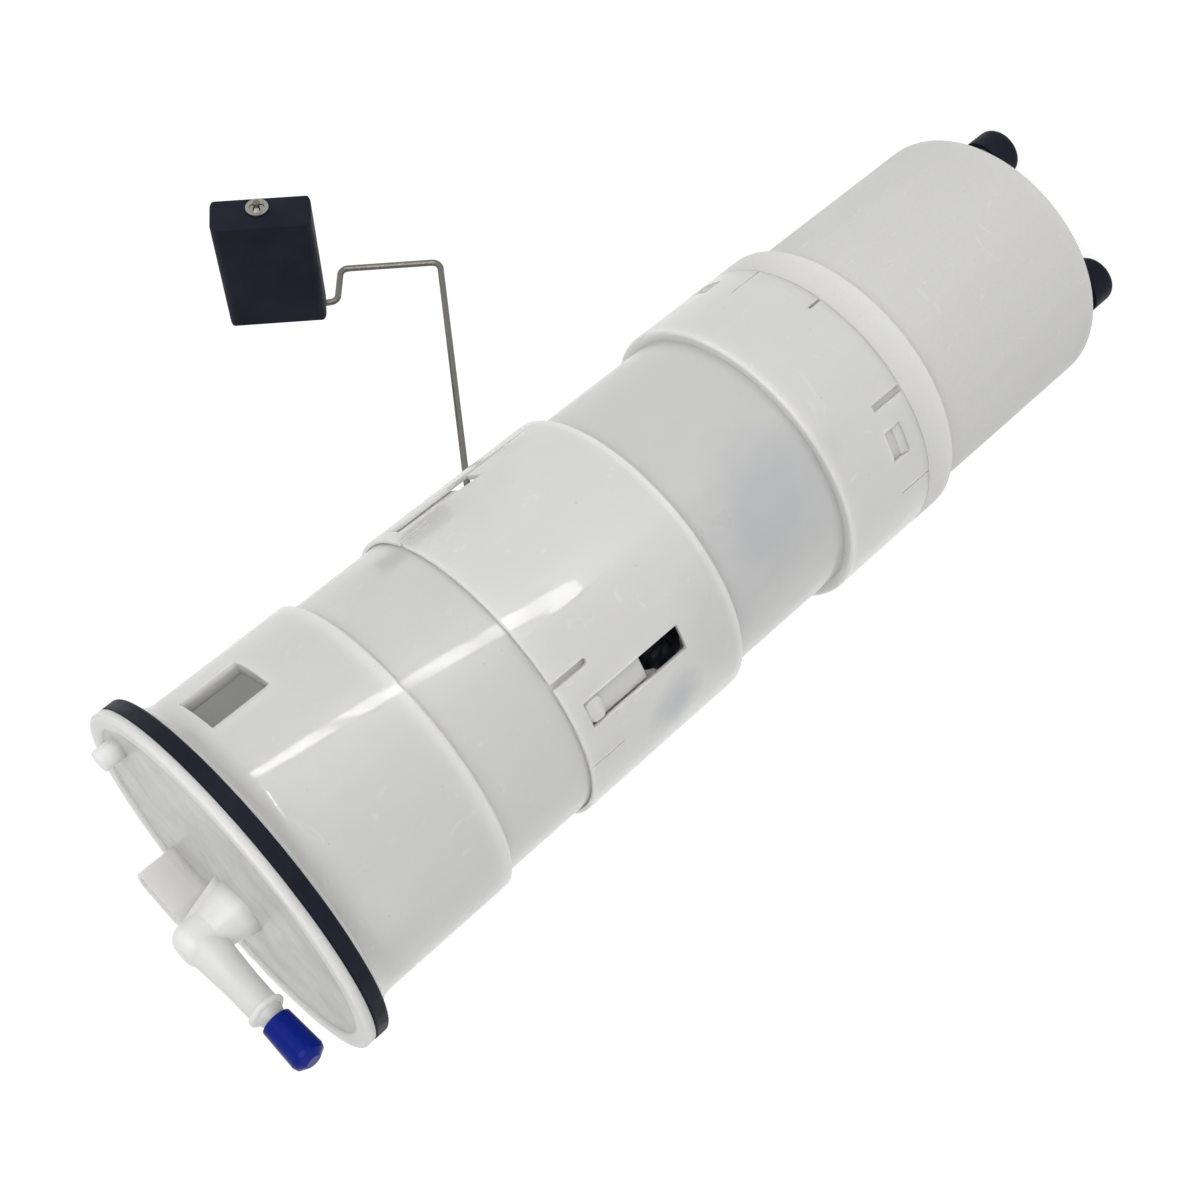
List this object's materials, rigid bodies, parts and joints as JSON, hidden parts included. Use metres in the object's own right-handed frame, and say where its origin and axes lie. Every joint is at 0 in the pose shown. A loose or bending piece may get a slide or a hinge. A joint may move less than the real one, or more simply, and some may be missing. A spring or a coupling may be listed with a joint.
{
  "type": "fuel pump module",
  "caption": "In-tank fuel pump module: round flange with outlet spigot and socket, telescoping housing, reservoir cup on rubber feet and a side float arm.",
  "frame": {"origin": "on the module's axis in the plane of the gasket's underside, where the flare enters the tank opening", "axes": "+Z along the module's axis, out of the tank, from the reservoir cup to the flange; +X towards the side that the picture shows; +Y to the side of the float arm"},
  "size_m": [0.14, 0.264, 0.4306],
  "materials": {
    "natural_white": "satin, slightly translucent milky white",
    "natural_grey": "satin, slightly greyer milky white",
    "cup_white": "matt milky white",
    "black_rubber": "matt black rubber",
    "black_plastic": "satin black",
    "float_black": "closed-cell matt black",
    "blue_cap": "soft gloss royal blue",
    "wire_steel": "drawn steel wire",
    "bright_steel": "bright plated steel",
    "dark_steel": "dark spring steel",
    "copper": "copper windings",
    "brass": "plated brass",
    "ceramic": "printed resistor card",
    "plug_grey": "satin light grey",
    "wire_colours": "insulated wires",
    "strainer_cloth": "woven filter cloth"
  },
  "bodies": {
    "lower": {"middle_housing": "natural_grey", "reservoir_cup": "cup_white", "rubber_feet": "black_rubber", "fill_valve": "black_rubber", "pump_can": "bright_steel", "pump_magnets": "dark_steel", "pump_outlet_cap": "black_plastic", "pump_inlet_cover": "black_plastic", "pump_isolator": "black_rubber", "pump_plug": "plug_grey", "inlet_strainer": "strainer_cloth", "hose_clamp_lower": "bright_steel", "sender_housing": "natural_white", "sender_card": "ceramic", "sender_plug": "black_plastic", "telescope_spring": "dark_steel", "fuel_hose": "black_plastic", "pump_wires": "wire_colours", "sender_wires": "wire_colours"},
    "upper": {"top_flange": "natural_white", "flange_gasket": "black_rubber", "upper_housing": "natural_white", "connector_pins": "brass", "harness_plug": "black_plastic", "guide_rod": "bright_steel", "rod_retainer": "dark_steel", "pressure_regulator": "bright_steel", "regulator_oring": "black_rubber", "regulator_clip": "dark_steel", "hose_clamp_upper": "bright_steel"},
    "cap": {"outlet_cap": "blue_cap"},
    "rotor": {"pump_rotor": "copper"},
    "arm": {"arm_holder": "natural_white", "sender_wiper": "brass", "float_arm": "wire_steel", "float_push_nut": "wire_steel"},
    "float": {"float_block": "float_black"}
  },
  "joints": [
    {"name": "telescope", "type": "slide", "parent": "lower", "child": "upper", "axis": [0, 0, -1], "range_m": [0, 0.032], "stiffness_N_per_m": 500, "springref_m": -0.04, "deforming": ["telescope_spring", "fuel_hose", "pump_wires", "sender_wires"]},
    {"name": "float_swing", "type": "hinge", "parent": "lower", "child": "arm", "pos_m": [0.0079, 0.03635, -0.1304], "axis": [0.9135, 0.4067, 0], "range_deg": [0, 60]},
    {"name": "float_spin", "type": "hinge", "parent": "arm", "child": "float", "pos_m": [-0.02841, 0.17075, -0.15286], "axis": [0.9135, 0.4067, 0], "continuous": true},
    {"name": "cap_pull", "type": "slide", "parent": "upper", "child": "cap", "axis": [0.4147, -0.91, 0], "range_m": [0, 0.03]},
    {"name": "pump_spin", "type": "hinge", "parent": "lower", "child": "rotor", "pos_m": [0.02145, -0.018, -0.3], "axis": [0, 0, 1], "continuous": true}
  ]
}
